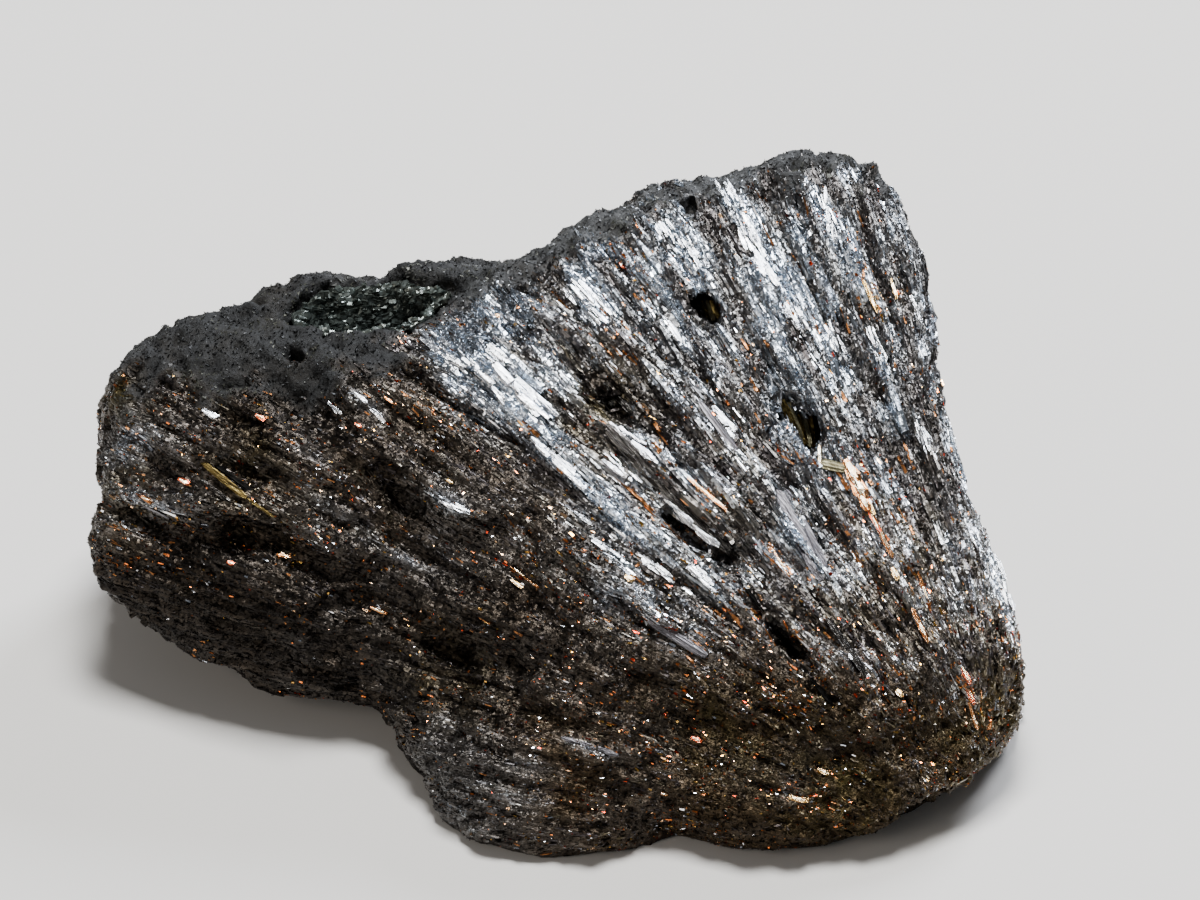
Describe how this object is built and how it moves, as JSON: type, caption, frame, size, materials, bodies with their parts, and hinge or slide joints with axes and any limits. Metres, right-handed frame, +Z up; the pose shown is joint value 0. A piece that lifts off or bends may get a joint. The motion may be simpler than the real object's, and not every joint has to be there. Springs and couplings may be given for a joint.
{
  "type": "stibnite crystal cluster",
  "caption": "Rough lump of metallic grey stibnite: fused blades that fan out from one corner, a matt crust on top with a small crystal-lined vug, and a flat base to rest on.",
  "frame": {"origin": "middle of the outer box's bottom face, on the plane that the flat base rests on", "axes": "+Z up, +X to the viewer's right along the longest side, -Y towards the viewer of the display side"},
  "size_m": [0.0656, 0.0482, 0.0316],
  "materials": {
    "stibnite": "metallic lead grey blades with bronze and copper tarnish",
    "vug_crystals": "dark greenish black, glinting"
  },
  "bodies": {
    "root": {"stibnite_mass": "stibnite", "vug_crystals": "vug_crystals"}
  },
  "joints": []
}
